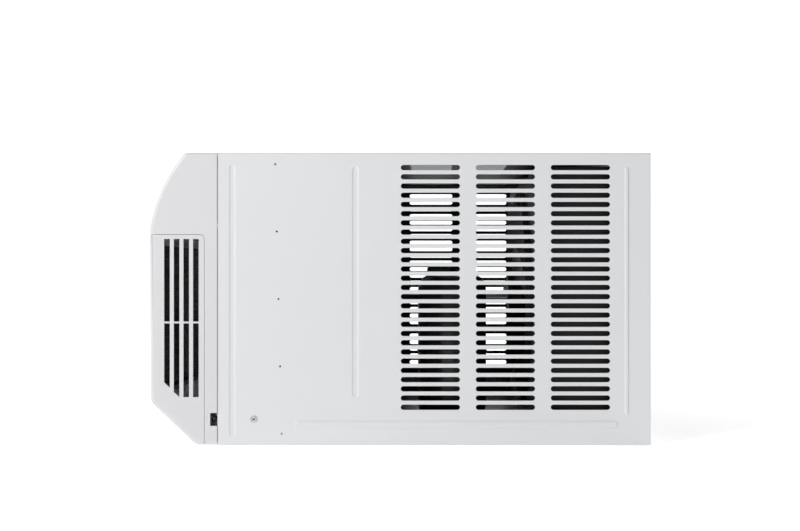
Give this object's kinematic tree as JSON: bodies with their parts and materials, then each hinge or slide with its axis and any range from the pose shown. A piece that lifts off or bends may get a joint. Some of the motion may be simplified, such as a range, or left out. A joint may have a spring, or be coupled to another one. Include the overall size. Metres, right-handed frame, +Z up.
{
  "type": "window air conditioner",
  "caption": "Large window air conditioner: louvred sheet-metal cabinet, curved plastic fascia with hinged intake grille, and a slide-out chassis with coils, fans and compressor.",
  "frame": {"origin": "centre of the footprint, on the surface that the cabinet stands on", "axes": "+X to the right seen from the room, -Y towards the room, +Z up"},
  "size_m": [0.66, 0.772, 0.45],
  "materials": {
    "cabinet_paint": "satin baked enamel",
    "zinc_steel": "galvanised sheet",
    "shell_plastic": "fine-textured moulding",
    "grille_plastic": "fine-textured moulding",
    "vane_plastic": "satin moulding",
    "panel_plastic": "satin",
    "lens_plastic": "glossy, tinted",
    "button_plastic": "satin",
    "foam": "moulded bead foam",
    "black_plastic": "satin",
    "black_enamel": "semi-gloss enamel",
    "fin_aluminium": "thin rolled fins",
    "copper": "bare copper tube",
    "shaft_steel": "ground steel",
    "screw_steel": "zinc plated",
    "runner_nylon": "plain",
    "rubber": "plain",
    "board": "lacquered board",
    "filter_plastic": "woven mesh",
    "filter_frame_plastic": "satin"
  },
  "bodies": {
    "cabinet": {"side_panel_right": "cabinet_paint", "side_panel_left": "cabinet_paint", "top_panel": "cabinet_paint", "sleeve_floor": "zinc_steel", "rear_frame": "cabinet_paint", "slide_rails": "runner_nylon", "cabinet_screws": "screw_steel"},
    "chassis": {"base_pan": "black_enamel", "bulkhead": "zinc_steel", "drain_trough": "foam", "evaporator_fins": "fin_aluminium", "evaporator_plates": "zinc_steel", "evaporator_bends": "copper", "inlet_orifice": "black_plastic", "scroll_housing": "foam", "discharge_duct": "foam", "motor_housing": "black_enamel", "motor_stator": "copper", "motor_bearings": "shaft_steel", "motor_bracket": "zinc_steel", "condenser_fins": "fin_aluminium", "condenser_plates": "zinc_steel", "condenser_bends": "copper", "condenser_shroud": "black_plastic", "compressor_shell": "black_enamel", "compressor_feet": "black_enamel", "compressor_grommets": "rubber", "accumulator": "black_enamel", "refrigerant_lines": "copper", "control_box": "zinc_steel", "circuit_board": "board", "cord_gland": "rubber", "fascia_shell": "shell_plastic", "discharge_frame": "shell_plastic", "control_panel": "panel_plastic", "display_lens": "lens_plastic"},
    "fan": {"motor_shaft": "shaft_steel", "motor_rotor": "shaft_steel", "blower_wheel": "black_plastic", "condenser_fan": "black_plastic"},
    "grille": {"intake_grille": "grille_plastic", "grille_louvers": "black_plastic"},
    "filter": {"filter_frame": "filter_frame_plastic", "filter_mesh": "filter_plastic"},
    "horizontal_vane_1": {"horizontal_vane_1": "vane_plastic"},
    "horizontal_vane_2": {"horizontal_vane_2": "vane_plastic"},
    "horizontal_vane_3": {"horizontal_vane_3": "vane_plastic"},
    "horizontal_vane_link": {"horizontal_vane_link": "vane_plastic"},
    "vertical_vane_1": {"vertical_vane_1": "vane_plastic"},
    "vertical_vane_2": {"vertical_vane_2": "vane_plastic"},
    "vertical_vane_3": {"vertical_vane_3": "vane_plastic"},
    "vertical_vane_4": {"vertical_vane_4": "vane_plastic"},
    "vertical_vane_link": {"vertical_vane_link": "vane_plastic"},
    "button_1": {"button_1": "button_plastic"},
    "button_2": {"button_2": "button_plastic"},
    "button_3": {"button_3": "button_plastic"},
    "button_4": {"button_4": "button_plastic"},
    "button_5": {"button_5": "button_plastic"},
    "vent_knob": {"vent_knob": "black_plastic"},
    "vent_door": {"vent_door": "zinc_steel"}
  },
  "joints": [
    {"name": "chassis_slide", "type": "slide", "parent": "cabinet", "child": "chassis", "axis": [0, -1, 0], "range_m": [0, 0.5]},
    {"name": "fan_spin", "type": "hinge", "parent": "chassis", "child": "fan", "pos_m": [0, 0, 0.219], "axis": [0, 1, 0], "continuous": true},
    {"name": "grille_hinge", "type": "hinge", "parent": "chassis", "child": "grille", "pos_m": [0, -0.382, 0.3196], "axis": [-1, 0, 0], "range_deg": [0, 70]},
    {"name": "filter_slide", "type": "slide", "parent": "chassis", "child": "filter", "axis": [-1, 0, 0], "range_m": [0, 0.6]},
    {"name": "horizontal_vane_1_hinge", "type": "hinge", "parent": "chassis", "child": "horizontal_vane_1", "pos_m": [-0.094, -0.36637, 0.36218], "axis": [1, 0, 0], "range_deg": [-30, 30]},
    {"name": "horizontal_vane_2_hinge", "type": "hinge", "parent": "chassis", "child": "horizontal_vane_2", "pos_m": [-0.094, -0.35533, 0.39072], "axis": [1, 0, 0], "range_deg": [-30, 30]},
    {"name": "horizontal_vane_3_hinge", "type": "hinge", "parent": "chassis", "child": "horizontal_vane_3", "pos_m": [-0.094, -0.34065, 0.41758], "axis": [1, 0, 0], "range_deg": [-30, 30]},
    {"name": "horizontal_link_hinge", "type": "hinge", "parent": "horizontal_vane_1", "child": "horizontal_vane_link", "pos_m": [0.1036, -0.35837, 0.36218], "axis": [1, 0, 0], "range_deg": [-30, 30]},
    {"name": "vertical_vane_1_hinge", "type": "hinge", "parent": "chassis", "child": "vertical_vane_1", "pos_m": [-0.247, -0.296, 0.39], "axis": [0, 0, 1], "range_deg": [-35, 35]},
    {"name": "vertical_vane_2_hinge", "type": "hinge", "parent": "chassis", "child": "vertical_vane_2", "pos_m": [-0.14567, -0.296, 0.39], "axis": [0, 0, 1], "range_deg": [-35, 35]},
    {"name": "vertical_vane_3_hinge", "type": "hinge", "parent": "chassis", "child": "vertical_vane_3", "pos_m": [-0.04433, -0.296, 0.39], "axis": [0, 0, 1], "range_deg": [-35, 35]},
    {"name": "vertical_vane_4_hinge", "type": "hinge", "parent": "chassis", "child": "vertical_vane_4", "pos_m": [0.057, -0.296, 0.39], "axis": [0, 0, 1], "range_deg": [-35, 35]},
    {"name": "vertical_link_hinge", "type": "hinge", "parent": "vertical_vane_1", "child": "vertical_vane_link", "pos_m": [-0.247, -0.284, 0.346], "axis": [0, 0, 1], "range_deg": [-35, 35]},
    {"name": "button_1_push", "type": "slide", "parent": "chassis", "child": "button_1", "axis": [0, 0.9459, -0.3244], "range_m": [0, 0.0012], "stiffness_N_per_m": 300, "springref_m": -0.002},
    {"name": "button_2_push", "type": "slide", "parent": "chassis", "child": "button_2", "axis": [0, 0.9459, -0.3244], "range_m": [0, 0.0012], "stiffness_N_per_m": 300, "springref_m": -0.002},
    {"name": "button_3_push", "type": "slide", "parent": "chassis", "child": "button_3", "axis": [0, 0.9459, -0.3244], "range_m": [0, 0.0012], "stiffness_N_per_m": 300, "springref_m": -0.002},
    {"name": "button_4_push", "type": "slide", "parent": "chassis", "child": "button_4", "axis": [0, 0.9459, -0.3244], "range_m": [0, 0.0012], "stiffness_N_per_m": 300, "springref_m": -0.002},
    {"name": "button_5_push", "type": "slide", "parent": "chassis", "child": "button_5", "axis": [0, 0.9459, -0.3244], "range_m": [0, 0.0012], "stiffness_N_per_m": 300, "springref_m": -0.002},
    {"name": "vent_knob_pull", "type": "slide", "parent": "chassis", "child": "vent_knob", "axis": [0, -1, 0], "range_m": [0, 0.025]},
    {"name": "vent_door_hinge", "type": "hinge", "parent": "chassis", "child": "vent_door", "pos_m": [0.1335, -0.0378, 0.375], "axis": [0, 0, 1], "range_deg": [0, 40]}
  ],
  "couplings": [
    {"joint": "horizontal_vane_2_hinge", "follows": "horizontal_vane_1_hinge", "ratio": 1},
    {"joint": "horizontal_vane_3_hinge", "follows": "horizontal_vane_1_hinge", "ratio": 1},
    {"joint": "horizontal_link_hinge", "follows": "horizontal_vane_1_hinge", "ratio": -1},
    {"joint": "vertical_vane_2_hinge", "follows": "vertical_vane_1_hinge", "ratio": 1},
    {"joint": "vertical_vane_3_hinge", "follows": "vertical_vane_1_hinge", "ratio": 1},
    {"joint": "vertical_vane_4_hinge", "follows": "vertical_vane_1_hinge", "ratio": 1},
    {"joint": "vertical_link_hinge", "follows": "vertical_vane_1_hinge", "ratio": -1},
    {"joint": "vent_door_hinge", "follows": "vent_knob_pull", "rad_per_m": 27.9}
  ]
}
